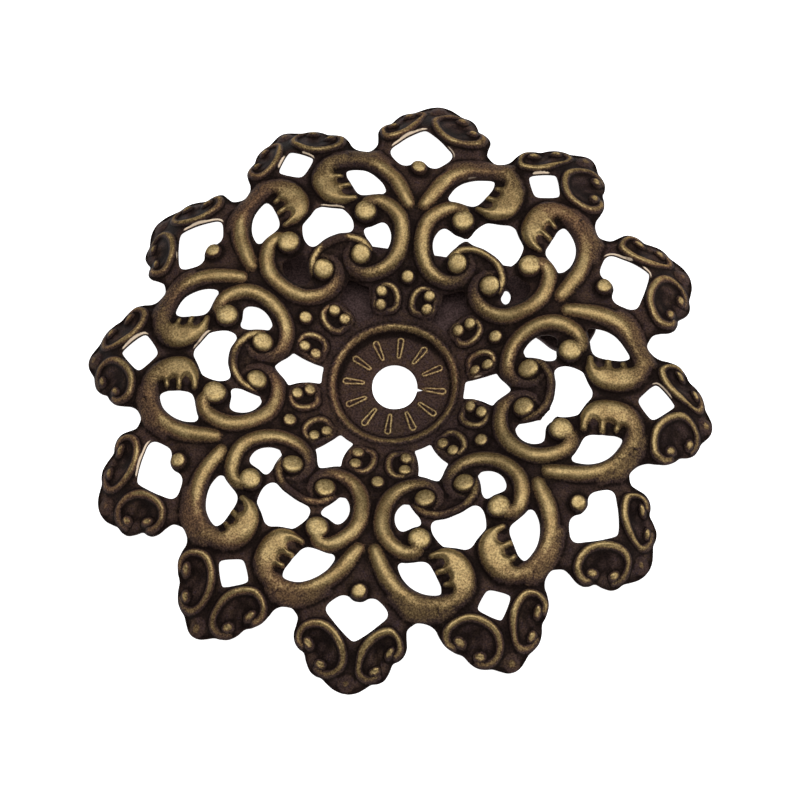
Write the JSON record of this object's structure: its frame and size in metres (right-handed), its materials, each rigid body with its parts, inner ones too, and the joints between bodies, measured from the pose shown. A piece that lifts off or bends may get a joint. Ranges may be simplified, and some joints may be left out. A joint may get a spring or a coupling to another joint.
{
  "type": "openwork flower stamping with back strip",
  "caption": "Round openwork brass stamping pressed as a scrolled flower with turned-down petals, raised beads and a plain hole in its sunk centre, with a plain flat strip soldered behind.",
  "frame": {"origin": "centre of the plain middle hole, on the plane that the petal tips rest on", "axes": "+Z along the hole's axis, out of the embossed face; +X along the middle line of one sector, through the petal with the small kite-shaped opening"},
  "size_m": [0.0604, 0.061, 0.0055],
  "materials": {
    "antique_brass": "dark patina worn back to brass on the raised work"
  },
  "bodies": {
    "root": {"flower_stamping": "antique_brass"}
  },
  "joints": []
}
